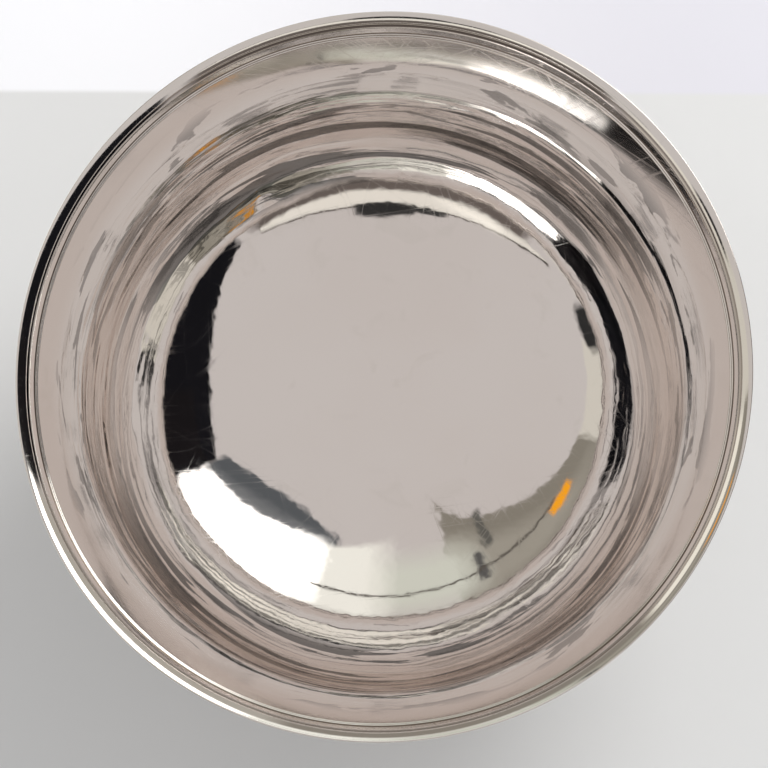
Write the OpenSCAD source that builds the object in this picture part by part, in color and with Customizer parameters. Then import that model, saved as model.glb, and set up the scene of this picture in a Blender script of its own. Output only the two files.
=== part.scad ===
// Footed silver punch bowl: a hand-raised bowl with a flared mouth, soldered to a
// spreading foot. Every section is drawn in the plane of radius and height and
// turned about the Z axis. The origin is on the axis, in the plane it stands on.

/* [Bowl] */
// Outside diameter over the lip wire
bowl_diameter = 300; // [285:1:315]
// Height of the underside of the bowl above the table, on the axis
bowl_lift = 30; // [29:1:34]
// Thickness of the raised sheet
bowl_wall = 1.4; // [1.0:0.1:2.0]

/* [Bowl curve] */
// Slope at which the dished bottom ends, in degrees
dish_slope = 11; // [9:1:13]
// Slope at which the shoulder of the bottom ends, in degrees
shoulder_slope = 31; // [28:1:34]
// Slope at which the haunch above the shoulder ends, in degrees
haunch_slope = 45; // [42:1:48]
// Slope at which the round of the side ends, in degrees
side_slope = 77; // [74:1:80]
// Steepest slope of the wall, below the flared mouth, in degrees
upright_slope = 83; // [81:1:85]
// Slope of the flared mouth, in degrees
flare_slope = 61; // [58:1:64]

/* [Rim] */
// Radius of the low crown on top of the lip wire
crown_radius = 11.5; // [9:0.5:14]
// Slope of the crown at its inner edge, in degrees
crown_inner_slope = 46; // [42:1:50]
// Slope of the crown at its outer edge, in degrees
crown_outer_slope = 24; // [18:1:28]
// Radius that rounds the outer edges of the lip wire
lip_edge_radius = 0.5; // [0.3:0.1:0.8]
// Width of each fine reed inside the mouth
reed_width = 1.2; // [0.8:0.1:1.5]
// Bare sheet between the reeds and the lip wire, along the slope
band_width = 6; // [4:0.5:8]

/* [Foot] */
// Outside diameter of the wire that the foot stands on
foot_diameter = 136; // [130:1:144]
// Outside diameter of the neck, where the foot meets the bowl
neck_diameter = 92; // [84:1:96]
// Thickness of the foot's sheet
foot_wall = 1.4; // [1.0:0.1:1.8]
// Radius of the hollow curve under the neck
cove_radius = 16; // [14:0.5:16.5]
// Height of the wire that the foot stands on
foot_wire_height = 3.5; // [3:0.1:4]
// Radius of the bead where the foot meets the bowl
neck_wire_radius = 2; // [1.5:0.1:2.4]

/* [Hidden] */
$fn = 180;
sheet_silver = [0.76, 0.72, 0.69];
wire_silver = [0.84, 0.81, 0.77];

// Degrees of turn between two points of an arc
arc_step = 3;
// Outer radius of the whole bowl
lip_radius = bowl_diameter / 2;

// Height of the small upright face at the inner edge of the lip wire
lip_face = 0.5;
// How far the lip wire stands inside the sheet that carries it
lip_overhang = 0.3;
crown_outer_r = lip_radius - lip_edge_radius * (1 + sin(crown_outer_slope));
crown_inner_r = crown_outer_r - crown_radius * (sin(crown_inner_slope) - sin(crown_outer_slope));
seat_r = crown_inner_r + lip_overhang;

// The inner wall is a chain of arcs that run smoothly into each other. Each entry is
// [slope, radius from the axis] where an arc ends and the next begins. The last arc
// turns the other way and opens the mouth.
WALL = [
    [0, 0],
    [dish_slope, lip_radius * 0.365],
    [shoulder_slope, lip_radius * 0.618],
    [haunch_slope, lip_radius * 0.735],
    [side_slope, lip_radius * 0.805],
    [upright_slope, lip_radius * 0.845],
    [flare_slope, lip_radius * 0.908]
];
last_arc = len(WALL) - 1;
inner_bottom = bowl_lift + bowl_wall;

// Radius of the arc that ends at entry i, negative where it turns outwards
function arc_radius(i) =
    (WALL[i][1] - WALL[i - 1][1]) / (sin(WALL[i][0]) - sin(WALL[i - 1][0]));

// Height of entry i above the table
function wall_height(i) =
    i == 0 ? inner_bottom
    : wall_height(i - 1) + arc_radius(i) * (cos(WALL[i - 1][0]) - cos(WALL[i][0]));

// Point of arc i where the slope is s, moved out of the bowl by t
function wall_point(i, s, t) = [
    WALL[i - 1][1] + arc_radius(i) * (sin(s) - sin(WALL[i - 1][0])) + t * sin(s),
    wall_height(i - 1) + arc_radius(i) * (cos(WALL[i - 1][0]) - cos(s)) - t * cos(s)
];

// The whole chain of arcs from the axis to the mouth, moved out by t
function wall_curve(t) = concat(
    [[0, inner_bottom - t]],
    [for (i = [1:last_arc])
        let (turn = WALL[i][0] - WALL[i - 1][0], steps = ceil(abs(turn) / arc_step))
        for (k = [1:steps]) wall_point(i, WALL[i - 1][0] + turn * k / steps, t)]
);

// Points of a circle from angle a to angle b
function arc(centre, radius, a, b) =
    let (steps = ceil(abs(b - a) / arc_step))
    [for (k = [0:steps]) centre + radius * [cos(a + (b - a) * k / steps), sin(a + (b - a) * k / steps)]];

// The same points in the opposite order
function reversed(points) = [for (i = [len(points) - 1:-1:0]) points[i]];

// The lip wire sits on the cut edge of the flared mouth
flare_end = wall_point(last_arc, flare_slope, 0);
seat_z = flare_end[1] + (seat_r - flare_end[0]) * tan(flare_slope);
crown_top = seat_z + lip_face + crown_radius * (cos(crown_outer_slope) - cos(crown_inner_slope));
// The reeds end one bare band below the seat
reed_start = [seat_r, seat_z] - (band_width + 2 * reed_width) * [cos(flare_slope), sin(flare_slope)];
reed_back = 0.3;

neck_r = neck_diameter / 2;
// Slope at which the cove of the foot turns into its rounded edge, in degrees
cove_turn = 78;
foot_wire_r = foot_diameter / 2;
// How far the foot wire stands outside the skirt
foot_step = 2.2;
skirt_r = foot_wire_r - foot_step;
cove_centre_r = neck_r + cove_radius;
// The rounded edge takes up the width that the cove leaves
edge_radius = (skirt_r - cove_centre_r + cove_radius * cos(cove_turn)) / (1 - cos(cove_turn));
cove_centre_z = foot_wire_height + (cove_radius + edge_radius) * sin(cove_turn);
cove_centre = [cove_centre_r, cove_centre_z];
edge_centre = cove_centre - (cove_radius + edge_radius) * [cos(cove_turn), sin(cove_turn)];
// The neck reaches half-way into the sheet of the bowl before it is trimmed to it
dish_outer = arc_radius(1) + bowl_wall;
neck_top = bowl_lift + dish_outer - sqrt(dish_outer * dish_outer - neck_r * neck_r) + bowl_wall / 2;

module shell_section() {
    outer_seat = seat_r + bowl_wall / sin(flare_slope);
    polygon(concat(
        wall_curve(0),
        [[seat_r, seat_z], [outer_seat, seat_z]],
        reversed(wall_curve(bowl_wall))
    ));
}

module lip_section() {
    crown_centre = [crown_inner_r, seat_z + lip_face]
        + crown_radius * [sin(crown_inner_slope), -cos(crown_inner_slope)];
    top_centre = [lip_radius - lip_edge_radius, crown_top - lip_edge_radius * cos(crown_outer_slope)];
    low_centre = [lip_radius - lip_edge_radius, seat_z + lip_edge_radius];
    polygon(concat(
        [[crown_inner_r, seat_z]],
        arc(crown_centre, crown_radius, 90 + crown_inner_slope, 90 + crown_outer_slope),
        arc(top_centre, lip_edge_radius, 90 + crown_outer_slope, 0),
        arc(low_centre, lip_edge_radius, 0, -90)
    ));
}

// Two half-round reeds side by side on a flat back
module reed_section() {
    translate(reed_start) rotate(flare_slope) intersection() {
        union() {
            square([2 * reed_width, reed_back]);
            for (k = [0, 1]) translate([(k + 0.5) * reed_width, 0]) circle(d = reed_width);
        }
        square([2 * reed_width, reed_width]);
    }
}

module skirt_section() {
    difference() {
        polygon(concat(
            [[neck_r, neck_top]],
            arc(cove_centre, cove_radius, 180, 180 + cove_turn),
            arc(edge_centre, edge_radius, cove_turn, 0),
            arc(edge_centre, edge_radius - foot_wall, 0, cove_turn),
            arc(cove_centre, cove_radius + foot_wall, 180 + cove_turn, 180),
            [[neck_r - foot_wall, neck_top]]
        ));
        shell_section();
    }
}

module foot_wire_section() {
    half = foot_wire_height / 2;
    translate([foot_wire_r - half, half]) circle(r = half);
    translate([skirt_r - foot_wall, 0]) square([foot_wire_r - half - skirt_r + foot_wall, foot_wire_height]);
}

// The bead lies in the corner between the neck and the underside of the bowl
module neck_wire_section() {
    difference() {
        translate([neck_r + neck_wire_radius / 2, neck_top - bowl_wall / 2 - neck_wire_radius / 2])
            circle(r = neck_wire_radius);
        shell_section();
        skirt_section();
        square([neck_r - foot_wall / 2, neck_top]);
    }
}

module bowl_shell() {
    color(sheet_silver) rotate_extrude() shell_section();
}

module lip_wire() {
    color(wire_silver) rotate_extrude() lip_section();
}

module reed_wire() {
    color(wire_silver) rotate_extrude() reed_section();
}

module neck_wire() {
    color(wire_silver) rotate_extrude() neck_wire_section();
}

module foot_skirt() {
    color(sheet_silver) rotate_extrude() skirt_section();
}

module foot_wire() {
    color(wire_silver) rotate_extrude() foot_wire_section();
}

bowl_shell();
lip_wire();
reed_wire();
neck_wire();
foot_skirt();
foot_wire();
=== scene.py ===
"""Footed silver punch bowl: a planished bowl with its rim wires, on a spreading foot."""
import math

import bmesh
import bpy
from mathutils import Matrix, Vector, noise


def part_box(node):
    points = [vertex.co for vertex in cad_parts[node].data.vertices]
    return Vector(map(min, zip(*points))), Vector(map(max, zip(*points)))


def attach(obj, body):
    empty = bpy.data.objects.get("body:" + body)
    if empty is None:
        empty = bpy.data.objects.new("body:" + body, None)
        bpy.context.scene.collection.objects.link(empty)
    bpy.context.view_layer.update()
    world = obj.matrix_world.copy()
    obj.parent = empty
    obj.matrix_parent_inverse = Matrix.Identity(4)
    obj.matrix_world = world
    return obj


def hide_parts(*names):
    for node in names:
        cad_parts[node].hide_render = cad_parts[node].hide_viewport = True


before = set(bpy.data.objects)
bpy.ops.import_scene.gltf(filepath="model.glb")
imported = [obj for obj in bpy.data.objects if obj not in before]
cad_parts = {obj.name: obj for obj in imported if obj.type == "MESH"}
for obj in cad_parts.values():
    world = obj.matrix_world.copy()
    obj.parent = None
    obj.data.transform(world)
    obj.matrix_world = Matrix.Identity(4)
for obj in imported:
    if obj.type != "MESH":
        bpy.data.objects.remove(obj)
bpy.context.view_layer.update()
scene = bpy.context.scene

# ---------------------------------------------------------------- measures, in metres

SHEET = 0.0014
WALL = ((0, 0), (11, 0.365), (31, 0.618), (45, 0.735), (77, 0.805), (83, 0.845), (61, 0.908))
FLARE_SLOPE = WALL[-1][0]
CROWN_RADIUS = 0.0115
CROWN_SLOPES = (46, 24)
LIP_EDGE = 0.0005
LIP_FACE = 0.0005
LIP_OVERHANG = 0.0003
REED_WIDTH = 0.0012
REED_BACK = 0.0003
BAND_WIDTH = 0.006
COVE_RADIUS = 0.016
COVE_TURN = 78
FOOT_STEP = 0.0022
FOOT_WIRE_HEIGHT = 0.0035
BEAD_RADIUS = 0.002
# Spacing of the points up the wall
WALL_STEP = 0.002
# Faces that each piece has round the axis
TURN_STEPS = 360

shell_low, shell_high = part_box("bowl_shell")
lip_low, lip_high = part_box("lip_wire")
_, foot_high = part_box("foot_wire")
neck_low, neck_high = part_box("neck_wire")
LIP_R = (lip_high.x - lip_low.x) / 2
RIM_Z = lip_high.z
SEAT_Z = shell_high.z
INNER_BOTTOM = shell_low.z + SHEET
FOOT_R = foot_high.x
NECK_R = neck_high.x - 1.5 * BEAD_RADIUS


def sin(degrees):
    return math.sin(math.radians(degrees))


def cos(degrees):
    return math.cos(math.radians(degrees))


def smooth(low, high, x):
    """0 below low, 1 above high, and an easy run between."""
    t = min(max((x - low) / (high - low), 0), 1)
    return t * t * (3 - 2 * t)


# ---------------------------------------------------------------- outlines

def wall_arcs():
    """Each arc of the inner wall as (start slope, end slope, radius, start r, start z)."""
    arcs = []
    z = INNER_BOTTOM
    for (slope_a, share_a), (slope_b, share_b) in zip(WALL, WALL[1:]):
        radius = LIP_R * (share_b - share_a) / (sin(slope_b) - sin(slope_a))
        arcs.append((slope_a, slope_b, radius, LIP_R * share_a, z))
        z += radius * (cos(slope_a) - cos(slope_b))
    return arcs


def wall_curve(out):
    """Points (r, z) up the wall from the axis to the end of the flare, moved outwards by out."""
    points = [(0, INNER_BOTTOM - out)]
    for slope_a, slope_b, radius, r, z in wall_arcs():
        steps = max(3, round(abs(radius * math.radians(slope_b - slope_a)) / WALL_STEP))
        for k in range(1, steps + 1):
            s = slope_a + (slope_b - slope_a) * k / steps
            points.append((r + radius * (sin(s) - sin(slope_a)) + out * sin(s),
                           z + radius * (cos(slope_a) - cos(s)) - out * cos(s)))
    return points


def arc(centre, radius, start, end, steps):
    """Points on a circle from one angle to another."""
    turn = (end - start) / steps
    return [(centre[0] + radius * cos(start + turn * k), centre[1] + radius * sin(start + turn * k))
            for k in range(steps + 1)]


def shell_outline():
    """The closed section of the raised bowl, up the inside and down the outside, and its seat."""
    inner = wall_curve(0)
    outer = wall_curve(SHEET)
    flare_r, flare_z = inner[-1]
    seat_r = flare_r + (SEAT_Z - flare_z) / math.tan(math.radians(FLARE_SLOPE))
    rise = 6
    slope_up = [(flare_r + (seat_r - flare_r) * k / rise, flare_z + (SEAT_Z - flare_z) * k / rise)
                for k in range(1, rise + 1)]
    edge = (seat_r + SHEET / sin(FLARE_SLOPE), SEAT_Z)
    return inner + slope_up + [edge] + outer[::-1], seat_r


def lip_outline(seat_r):
    """The closed section of the lip wire: a low crown inside and a rounded edge outside."""
    inner_slope, outer_slope = CROWN_SLOPES
    crown_r = seat_r - LIP_OVERHANG
    foot = (crown_r, SEAT_Z + LIP_FACE)
    centre = (foot[0] + CROWN_RADIUS * sin(inner_slope), foot[1] - CROWN_RADIUS * cos(inner_slope))
    crown = arc(centre, CROWN_RADIUS, 90 + inner_slope, 90 + outer_slope, 12)
    end_r, end_z = crown[-1]
    top = (end_r + LIP_EDGE * sin(outer_slope), end_z - LIP_EDGE * cos(outer_slope))
    low = (top[0], SEAT_Z + LIP_EDGE)
    return ([(crown_r, SEAT_Z)] + crown + arc(top, LIP_EDGE, 90 + outer_slope, 0, 8)[1:]
            + arc(low, LIP_EDGE, 0, -90, 6))


def reed_place(seat_r):
    """Where the wire of the two reeds starts, and its directions along and off the sheet."""
    along = Vector((cos(FLARE_SLOPE), sin(FLARE_SLOPE)))
    inward = Vector((-along.y, along.x))
    return Vector((seat_r, SEAT_Z)) - (BAND_WIDTH + 2 * REED_WIDTH) * along, along, inward


def reed_outline(seat_r):
    """The closed section of the fine wire: two half-round reeds on a flat back."""
    start, along, inward = reed_place(seat_r)
    local = [(0, 0), (0, REED_BACK)]
    for k in range(2):
        local += sorted(((k + 0.5) * REED_WIDTH - x, y)
                        for x, y in arc((0, 0), REED_WIDTH / 2, 0, 180, 12) if y > REED_BACK * 0.99)
    local += [(2 * REED_WIDTH, REED_BACK), (2 * REED_WIDTH, 0)]
    return [tuple(start + u * along + v * inward) for u, v in local]


def skirt_outline():
    """The closed section of the foot: a cove under the bowl, then a rounded edge."""
    skirt_r = FOOT_R - FOOT_STEP
    edge = (skirt_r - NECK_R - COVE_RADIUS * (1 - cos(COVE_TURN))) / (1 - cos(COVE_TURN))
    cove = (NECK_R + COVE_RADIUS, FOOT_WIRE_HEIGHT + (COVE_RADIUS + edge) * sin(COVE_TURN))
    turn = (cove[0] - (COVE_RADIUS + edge) * cos(COVE_TURN), FOOT_WIRE_HEIGHT)
    dish = wall_arcs()[0][2] + SHEET
    top = INNER_BOTTOM - SHEET + dish
    outer_top = top - math.sqrt(dish ** 2 - NECK_R ** 2)
    inner_top = top - math.sqrt(dish ** 2 - (NECK_R - SHEET) ** 2)
    return ([(NECK_R, outer_top)] + arc(cove, COVE_RADIUS, 180, 180 + COVE_TURN, 40)
            + arc(turn, edge, COVE_TURN, 0, 24)[1:] + arc(turn, edge - SHEET, 0, COVE_TURN, 20)
            + arc(cove, COVE_RADIUS + SHEET, 180 + COVE_TURN, 180, 40)[1:]
            + [(NECK_R - SHEET, inner_top)])


def foot_wire_outline():
    """The closed section of the base wire: flat inside, round outside."""
    half = FOOT_WIRE_HEIGHT / 2
    inside = FOOT_R - FOOT_STEP - SHEET
    outside = arc((FOOT_R - half, half), half, -90, 90, 24)
    return [(inside, 0)] + outside + [(inside, FOOT_WIRE_HEIGHT)]


# ---------------------------------------------------------------- mesh pieces

def turned(outline):
    """A closed outline spun once about the axis, as a bmesh whose faces point outwards."""
    bm = bmesh.new()
    ring = [bm.verts.new((r, 0, z)) for r, z in outline]
    edges = [bm.edges.new(pair) for pair in zip(ring, ring[1:])]
    if outline[0][0] > 0:
        edges.append(bm.edges.new((ring[-1], ring[0])))
    bmesh.ops.spin(bm, geom=ring + edges, cent=(0, 0, 0), axis=(0, 0, 1),
                   angle=math.tau, steps=TURN_STEPS, use_merge=True)
    bmesh.ops.remove_doubles(bm, verts=bm.verts, dist=1e-6)
    bmesh.ops.recalc_face_normals(bm, faces=bm.faces)
    bm.normal_update()
    return bm


LONG_WAY = 54
LONG_SHARE = 0.010


def out_of_round(bm):
    """A hand-raised mouth is never a true circle: it is a little long one way."""
    long_way = math.radians(LONG_WAY)
    for v in bm.verts:
        lift = smooth(INNER_BOTTOM, RIM_Z, v.co.z)
        grow = 1 + LONG_SHARE * lift * math.cos(2 * (math.atan2(v.co.y, v.co.x) - long_way))
        v.co.x *= grow
        v.co.y *= grow


def finish_piece(bm, name, material, node):
    mesh = bpy.data.meshes.new(name)
    bm.to_mesh(mesh)
    bm.free()
    for polygon in mesh.polygons:
        polygon.use_smooth = True
    mesh.materials.append(material)
    piece = bpy.data.objects.new(name, mesh)
    scene.collection.objects.link(piece)
    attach(piece, "root")
    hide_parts(node)
    return piece


DENT_PLACE = Vector((0.111 * cos(119), 0.111 * sin(119), INNER_BOTTOM + 0.036))
DENT_SIZE = 0.006
DENT_DEPTH = 0.0007


def planish(bm):
    """The dents that the hammer leaves: courses of long soft waves that follow the wall round."""
    for v in bm.verts:
        side = smooth(INNER_BOTTOM + 0.012, INNER_BOTTOM + 0.035, v.co.z)
        still = 1 - smooth(SEAT_Z - 0.030, SEAT_Z - 0.014, v.co.z)
        broad = noise.noise(v.co * 26) * 0.00010
        course = noise.noise(Vector((v.co.x * 22, v.co.y * 22, v.co.z * 95 + 5))) * 0.00018
        push = (broad * (0.35 + 0.65 * side) + course * side) * still
        outward = Vector((v.co.x, v.co.y, 0)).normalized() * side + Vector((0, 0, side - 1))
        dent = DENT_DEPTH * math.exp(-((v.co - DENT_PLACE).length / DENT_SIZE) ** 2)
        v.co += outward * (push + dent)


def mark_surface(bm, depth):
    """Stores how deep each point lies in a groove, from 0 to 1, and whether it faces up."""
    groove = bm.verts.layers.float.new("groove")
    inside = bm.verts.layers.float.new("inside")
    for v in bm.verts:
        v[groove] = depth(math.hypot(v.co.x, v.co.y), v.co.z)
        v[inside] = 1 if v.normal.z > 0 else 0


# ---------------------------------------------------------------- shader maths

TARNISH = (0.16, 0.12, 0.09)
WIPED = (0.84, 0.79, 0.745)
# A painted sheen: a brighter colour that stands for the brighter reflection of the steep inner
# wall.
PAINTED_WALL_SHEEN = (0.975, 0.965, 0.955)
# Painted dark reflections: a dark grey laid on the wall where dark parts of the room would show in
# the hammer ripples.
PAINTED_DARK_REFLECTION = (0.28, 0.275, 0.27)


class Wire:
    """A value in a node tree. Arithmetic on it adds Math nodes."""

    def __init__(self, tree, socket=None):
        self.tree = tree
        self.socket = socket

    def node(self, kind, settings=None, inputs=None, out=0):
        """Adds any node: its settings first, then the values or links of its sockets."""
        made = self.tree.nodes.new(kind)
        for key, value in (settings or {}).items():
            setattr(made, key, value)
        for key, value in (inputs or {}).items():
            if isinstance(value, Wire):
                self.tree.links.new(value.socket, made.inputs[key])
            else:
                made.inputs[key].default_value = value
        return Wire(self.tree, made.outputs[out] if len(made.outputs) else None)

    def maths(self, operation, *values):
        return self.node("ShaderNodeMath", {"operation": operation}, dict(enumerate(values)))

    def __add__(self, other):
        return self.maths("ADD", self, other)

    def __sub__(self, other):
        return self.maths("SUBTRACT", self, other)

    def __mul__(self, other):
        return self.maths("MULTIPLY", self, other)

    def __truediv__(self, other):
        return self.maths("DIVIDE", self, other)

    def __rsub__(self, other):
        return self.maths("SUBTRACT", other, self)

    def __abs__(self):
        return self.maths("ABSOLUTE", self)

    __radd__ = __add__
    __rmul__ = __mul__

    def clamped(self):
        return self.node("ShaderNodeClamp", None, {0: self})

    def ramp(self, low, high):
        """0 where the value is under low, 1 over high, with an easy run between."""
        return self.node("ShaderNodeMapRange", {"interpolation_type": "SMOOTHSTEP"},
                         {"Value": self, "From Min": low, "From Max": high})

    def mix(self, under, over):
        """One colour laid over another where this mask is 1."""
        colours = {key: value if isinstance(value, Wire) else (*value, 1)
                   for key, value in ((6, under), (7, over))}
        return self.node("ShaderNodeMix", {"data_type": "RGBA"}, {0: self, **colours}, 2)


def new_material(name):
    """An empty material, and a Wire to draw its nodes with."""
    material = bpy.data.materials.new(name)
    material.use_nodes = True
    tree = material.node_tree
    tree.nodes.clear()
    return material, Wire(tree)


def noise_at(start, place, scale, detail=2, **inputs):
    return start.node("ShaderNodeTexNoise", None,
                      {"Vector": place, "Scale": scale, "Detail": detail, **inputs})


def scratches(start, place):
    """Hairlines from years of wiping: thin streaks, each set in a direction of its own."""
    total = None
    for k in range(5):
        turned_place = start.node("ShaderNodeMapping", {"vector_type": "TEXTURE"}, {
            "Vector": place, "Location": (0.013 * k, 0.02 * k, 0.01),
            "Rotation": (0.5 * k, 0.3 * k, 1.7 + k * 2.4), "Scale": (0.0005, 0.06, 0.06)})
        lines = noise_at(start, turned_place, 1, 0).ramp(0.70, 0.80)
        total = lines if total is None else total.maths("MAXIMUM", total, lines)
    return total


def stored(start, name):
    """A value that the mesh stores at each of its points."""
    return start.node("ShaderNodeAttribute", {"attribute_name": name}, None, "Fac")


def groove_dark(start, base):
    """Tarnish that the polishing cloth never reaches."""
    return (stored(start, "groove") * 0.9).mix(base, TARNISH)


def course_noise(start, place, around, up, detail, shift, ragged=0):
    """Noise drawn out round the bowl, as the courses of the raising hammer are."""
    drawn = start.node("ShaderNodeMapping", None, {
        "Vector": place, "Location": (shift, 0, shift), "Scale": (around, around, up)})
    return noise_at(start, drawn, 1, detail, Distortion=ragged)


def place_along(start, place, compass):
    """Distance from the axis in one compass direction."""
    return start.node("ShaderNodeVectorMath", {"operation": "DOT_PRODUCT"},
                      {0: place, 1: (cos(compass), sin(compass), 0)}, "Value")


def above_bottom(height, low, high):
    """A ramp between two heights above the middle of the bowl's inside."""
    return height.ramp(INNER_BOTTOM + low, INNER_BOTTOM + high)


def hammer_dents(start, place, height):
    """Ripples that follow the wall round, heaviest at one side, and stop below the flare."""
    rising = above_bottom(height, 0.022, 0.045)
    calm = 1 - height.ramp(SEAT_Z - 0.034, SEAT_Z - 0.018)
    heavy = place_along(start, place, 147).ramp(0.06, 0.10)
    courses = course_noise(start, place, 24, 150, 1.5, 2) * (1 + 4 * heavy)
    soft = noise_at(start, place, 55, 1)
    small = noise_at(start, place, 170, 1)
    return (courses * rising + soft * (0.35 + 0.9 * rising) + small * 0.18) * calm


def painted_wall_reflections(start, place, height, flare, base):
    """Painted reflections, inside only: the steep wall is lightened as a painted sheen, with
    painted dark reflections as streaks low down and blotches above.
    """
    steep = above_bottom(height, 0.034, 0.050)
    inside = stored(start, "inside")
    # Painted sheen: the steep inner wall, below the flare and on faces that point up, is lightened
    # to stand for a brighter reflection.
    base = (steep * (1 - flare) * inside).mix(base, PAINTED_WALL_SHEEN)
    low = above_bottom(height, 0.026, 0.031)
    high = 1 - above_bottom(height, 0.078, 0.104)
    across = start.node("ShaderNodeSeparateXYZ", None, {0: place}, 1)
    ends = abs(across).ramp(0.01, 0.07)
    # Painted dark reflections as streaks low down, fainter near the x axis.
    painted_streak = course_noise(start, place, 8, 150, 7, 7, 0.35).ramp(0.53, 0.545) * low * high
    upper = above_bottom(height, 0.060, 0.072) * (1 - above_bottom(height, 0.108, 0.120))
    # Painted dark reflections as blotches higher up the wall.
    painted_blotch = course_noise(start, place, 22, 105, 7, 3, 0.5).ramp(0.575, 0.60) * upper
    painted_dark = start.maths("MAXIMUM", painted_streak * (0.25 + 0.75 * ends), painted_blotch * 0.7)
    return (painted_dark * inside).mix(base, PAINTED_DARK_REFLECTION)


def silver(name, colour, shade, ripple=0, painted_reflections=False):
    """Polished silver: hammer ripples, hairlines, a breath of tarnish, and optionally a painted
    sheen and painted dark reflections on the inner wall.
    """
    material, start = new_material(name)
    place = start.node("ShaderNodeTexCoord", None, None, 3)
    height = start.node("ShaderNodeSeparateXYZ", None, {0: place}, 2)
    cloud = noise_at(start, place, 14, 3).ramp(0.35, 0.7)
    lines = scratches(start, place)
    smudge = noise_at(start, place, 48, 5, Distortion=0.8).ramp(0.58, 0.72)
    flare = height.ramp(SEAT_Z - 0.030, SEAT_Z - 0.014)
    base = groove_dark(start, (smudge * 0.6).mix((cloud * 0.8).mix(colour, shade), WIPED))
    normals = {}
    if ripple:
        normals = {"Normal": start.node("ShaderNodeBump", None, {
            "Height": hammer_dents(start, place, height), "Distance": ripple, "Strength": 1.0})}
    # Painted sheen and painted dark reflections on the inner wall.
    if painted_reflections:
        base = painted_wall_reflections(start, place, height, flare, base)
    hair = start.node("ShaderNodeBump", None,
                      {"Height": lines, "Distance": 0.000002, "Strength": 0.4, **normals})
    shader = start.node("ShaderNodeBsdfPrincipled", None, {
        "Base Color": base, "Metallic": 1.0, "Normal": hair,
        "Roughness": 0.03 + lines * 0.06 + cloud * 0.02 + flare * 0.03})
    start.node("ShaderNodeOutputMaterial", None, {"Surface": shader})
    return material


# ---------------------------------------------------------------- the bowl

RIPPLE = 0.0002

shell_silver = silver("planished_silver", (0.895, 0.845, 0.81), (0.875, 0.815, 0.775),
                      RIPPLE, painted_reflections=True)
wire_silver = silver("drawn_wire_silver", (0.90, 0.86, 0.82), (0.85, 0.80, 0.75))
foot_silver = silver("foot_silver", (0.895, 0.85, 0.815), (0.85, 0.80, 0.76), RIPPLE)

section, seat_radius = shell_outline()
reed_start, _, reed_inward = reed_place(seat_radius)


def shell_groove(r, z):
    """Dark beside the reeds' lower edge and under the lip wire."""
    at_reed = 1 - smooth(0.0002, 0.0007, abs(z - reed_start.y))
    at_lip = smooth(SEAT_Z - 0.0006, SEAT_Z - 0.0001, z)
    return max(at_reed, at_lip)


def reed_groove(r, z):
    """Dark on the wire's back and in the valleys beside each reed."""
    off_sheet = (Vector((r, z)) - reed_start).dot(reed_inward)
    return 1 - smooth(REED_BACK, REED_BACK + 0.00012, off_sheet)


def lip_groove(r, z):
    """Dark at the foot of the small face where the lip wire meets the sheet."""
    return (1 - smooth(0.0002, LIP_FACE, z - SEAT_Z)) if r < seat_radius + LIP_FACE else 0


def no_groove(r, z):
    return 0


def add_turned(outline, name, material, node, groove=no_groove, shape=None):
    """Turns one outline, marks and works its surface, and finishes the piece."""
    bm = turned(outline)
    mark_surface(bm, groove)
    if shape:
        shape(bm)
    out_of_round(bm)
    return finish_piece(bm, name, material, node)


add_turned(section, "raised_bowl", shell_silver, "bowl_shell",
           shell_groove, planish)
add_turned(lip_outline(seat_radius), "crowned_lip_wire", wire_silver, "lip_wire",
           lip_groove)
add_turned(reed_outline(seat_radius), "two_reed_wire", wire_silver, "reed_wire",
           reed_groove)
add_turned(skirt_outline(), "spreading_foot", foot_silver, "foot_skirt")
add_turned(foot_wire_outline(), "foot_base_wire", foot_silver, "foot_wire")
bead_middle = (neck_high.x - BEAD_RADIUS, neck_low.z + BEAD_RADIUS)
add_turned(arc(bead_middle, BEAD_RADIUS, 0, 360, 24)[:-1], "neck_bead", foot_silver,
           "neck_wire")

# ---------------------------------------------------------------- table, studio and camera

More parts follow.
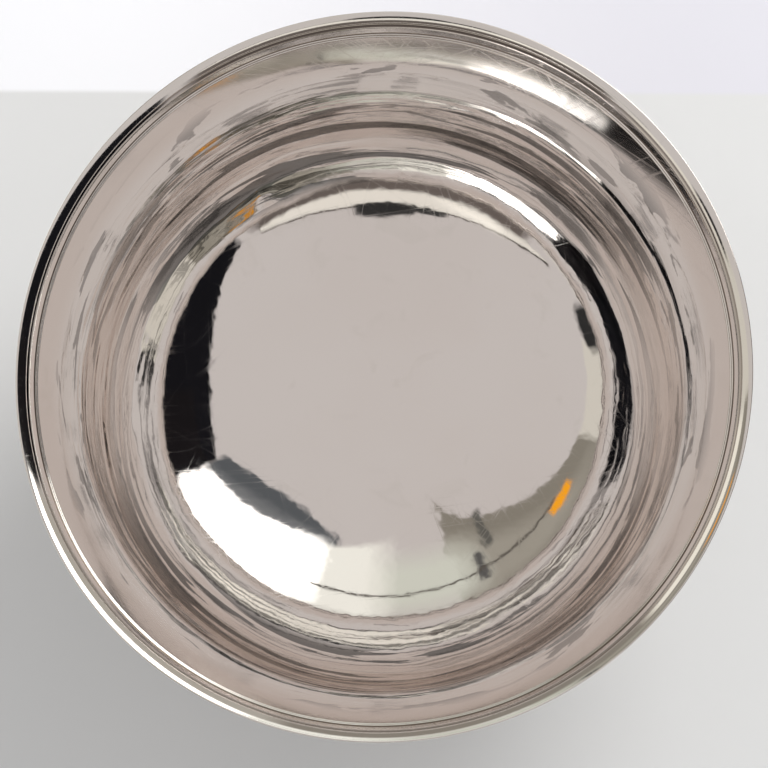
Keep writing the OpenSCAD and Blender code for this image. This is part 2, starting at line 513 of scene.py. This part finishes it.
# Everything that the mirror of the bowl sees of the room, by compass angle and height in degrees:
# middle and half-width round the room, bottom and top, how much the top leans up to the left
# and arches over, colour, and the softness of the sides and of the top and bottom
STUDIO = (
    (0, 180, -90, 0, 0, 0, (0.30, 0.30, 0.30), 1, 1),
    (178, 44, 0, 25, 0, 0, (0.76, 0.73, 0.66), 4, 3),
    (170, 22, 0, 35.5, -3, 0, (0.66, 0.64, 0.58), 3, 1),
    (102, 33, 0, 26, 0, 0, (0.26, 0.24, 0.21), 4, 3),
    (145, 18, 3, 23, 0, 0, (0.92, 0.89, 0.80), 4, 3),
    (52, 26, 0, 26, 0, 0, (0.45, 0.43, 0.39), 4, 2),
    (136, 28, 22, 49, -16, -3.4, (0.25, 0.235, 0.20), 1.5, 1.2),
    (136, 28, 22, 43, -16, -3.4, (0.36, 0.345, 0.30), 3, 8),
    (92, 28, 22, 58.5, 0, 3, (0.66, 0.69, 0.62), 10, 12),
    (116.5, 1.5, 30.5, 45.5, 0, 0, (0.10, 0.10, 0.10), 0.8, 1.5),
    (121.5, 1.9, 43.5, 60.5, 0, 0, (0.12, 0.12, 0.11), 0.8, 2),
    (51, 25, 38, 63, 5, 8, (0.10, 0.11, 0.12), 2, 1.2),
    (50, 24, 38, 57.5, 8, 5, (0.24, 0.25, 0.26), 3, 7),
    (60, 34, 25, 53, 11, 1, (0.94, 0.95, 0.89), 9, 3),
    (46, 28, 25, 50, 11, 1, (5.0, 5.0, 4.9), 17, 4),
    (107, 38, 35.5, 37, 0, 0, (0.10, 0.09, 0.08), 2, 0.5),
    (-8, 36, 8, 46.5, 9, 9, (0.008, 0.008, 0.010), 2, 0.8),
    (15, 12, -2, 42, 0, 0, (0.010, 0.009, 0.010), 3, 1),
    (145, 6, 31.5, 36, 0, 0, (1.0, 0.42, 0.02), 1.5, 1),
    (262.5, 48, 27, 38.5, 2, 8, (0.06, 0.05, 0.045), 1, 0.5),
    (262.5, 47.5, 27, 37.5, 2, 8, (0.84, 0.82, 0.76), 1, 0.5),
    (243, 17, 28, 35.5, -2, 4, (1.1, 1.08, 1.0), 8, 4),
    (268, 45, 0, 29, 0, 0, (0.14, 0.12, 0.11), 4, 2),
    (270, 11, 35.5, 44.5, 0, 3, (0.03, 0.03, 0.03), 2, 1),
    (256, 8, 36, 41, 0, 2, (0.04, 0.04, 0.04), 3, 1),
    (194, 8, 20, 31.5, 0, 3, (0.03, 0.03, 0.03), 3, 2),
)
CEILING = (0.595, 0.567, 0.556)
TABLE_LIGHT = (0.68, 0.68, 0.69)
BACKDROP = (0.86, 0.86, 0.88)
TABLE_EDGE = (0.160, 0.163)


def studio():
    world = bpy.data.worlds.new("studio")
    scene.world = world
    world.use_nodes = True
    tree = world.node_tree
    tree.nodes.clear()
    start = Wire(tree)
    way = start.node("ShaderNodeTexCoord")
    x, y, z = (start.node("ShaderNodeSeparateXYZ", None, {0: way}, k) for k in range(3))
    compass = start.maths("ARCTAN2", y, x) * (180 / math.pi)
    height = start.maths("ARCSINE", z) * (180 / math.pi)
    light = None
    for middle, half, low, high, lean, arch, colour, soft_round, soft_up in STUDIO:
        along = start.maths("MODULO", compass - middle + 540, 360) - 180
        share = along * (1 / half)
        top = high + lean * share - arch * share * share
        across = ((half - abs(along)) / soft_round).clamped()
        upright = ((height - low) / soft_up).clamped() * ((top - height) / soft_up).clamped()
        light = (across * upright).mix(light or CEILING, colour)
    on_table, in_view = (start.node("ShaderNodeLightPath", None, None, ray)
                         for ray in ("Is Diffuse Ray", "Is Camera Ray"))
    seen = in_view.mix(on_table.mix(light, TABLE_LIGHT), BACKDROP)
    glow = start.node("ShaderNodeBackground", None, {"Color": seen, "Strength": 1.0})
    start.node("ShaderNodeOutputWorld", None, {"Surface": glow})


def soft_lamp():
    """A wide soft lamp over the right shoulder. The silver doesn't show it."""
    lamp = bpy.data.lights.new("soft_lamp", "AREA")
    lamp.shape = "DISK"
    lamp.size = 0.8
    lamp.energy = 12
    holder = bpy.data.objects.new("soft_lamp", lamp)
    place = Vector((0.6, 0.9, 1.3))
    aim = place.to_track_quat("Z", "Y").to_matrix().to_4x4()
    holder.matrix_world = Matrix.Translation(place) @ aim
    holder.visible_glossy = False
    holder.visible_camera = False
    scene.collection.objects.link(holder)


def table():
    """A pale table top, paler beyond its far edge, where a painted light falloff runs from pale
    towards -x to darker towards +x.
    """
    material, start = new_material("pale_table")
    place = start.node("ShaderNodeTexCoord", None, None, 3)
    beyond = start.node("ShaderNodeSeparateXYZ", None, {0: place}, 1).ramp(*TABLE_EDGE)
    cloud = noise_at(start, place, 6, 3)
    # Painted light falloff on the backdrop: paler towards -x, darker towards +x.
    painted_backdrop_falloff = start.node("ShaderNodeSeparateXYZ", None, {0: place}, 0).ramp(-0.15, 0.16).mix(
        (0.95, 0.95, 0.97), (0.75, 0.74, 0.79))
    tone = beyond.mix(cloud.mix((0.71, 0.71, 0.70), (0.77, 0.77, 0.76)), painted_backdrop_falloff)
    shader = start.node("ShaderNodeBsdfPrincipled", None, {"Base Color": tone, "Roughness": 0.6})
    start.node("ShaderNodeOutputMaterial", None, {"Surface": shader})
    bm = bmesh.new()
    bmesh.ops.create_grid(bm, x_segments=1, y_segments=1, size=3)
    mesh = bpy.data.meshes.new("table_top")
    bm.to_mesh(mesh)
    bm.free()
    mesh.materials.append(material)
    top = bpy.data.objects.new("table_top", mesh)
    scene.collection.objects.link(top)


def camera():
    """Looks steeply down into the bowl from in front of it."""
    lean = 10
    compass = -95
    distance_in_radii = 8
    sensor = 36
    radius_in_frame = 0.482
    back = Vector((sin(lean) * cos(compass), sin(lean) * sin(compass), cos(lean)))
    side = (-back).cross(Vector((0, 1, 0))).normalized()
    upward = side.cross(-back)
    lens = bpy.data.cameras.new("camera")
    lens.sensor_width = sensor
    lens.lens = sensor * radius_in_frame * distance_in_radii
    lens.shift_x = -0.0015
    lens.shift_y = -0.0195
    eye = bpy.data.objects.new("camera", lens)
    place = Vector((0, 0, RIM_Z)) + back * (distance_in_radii * LIP_R)
    eye.matrix_world = (Matrix.Translation(place)
                        @ Matrix((side, upward, back)).transposed().to_4x4())
    scene.collection.objects.link(eye)
    scene.camera = eye


studio()
soft_lamp()
table()
camera()
scene.view_settings.view_transform = "Standard"
scene.cycles.max_bounces = 16
scene.cycles.glossy_bounces = 16

bpy.context.view_layer.update()
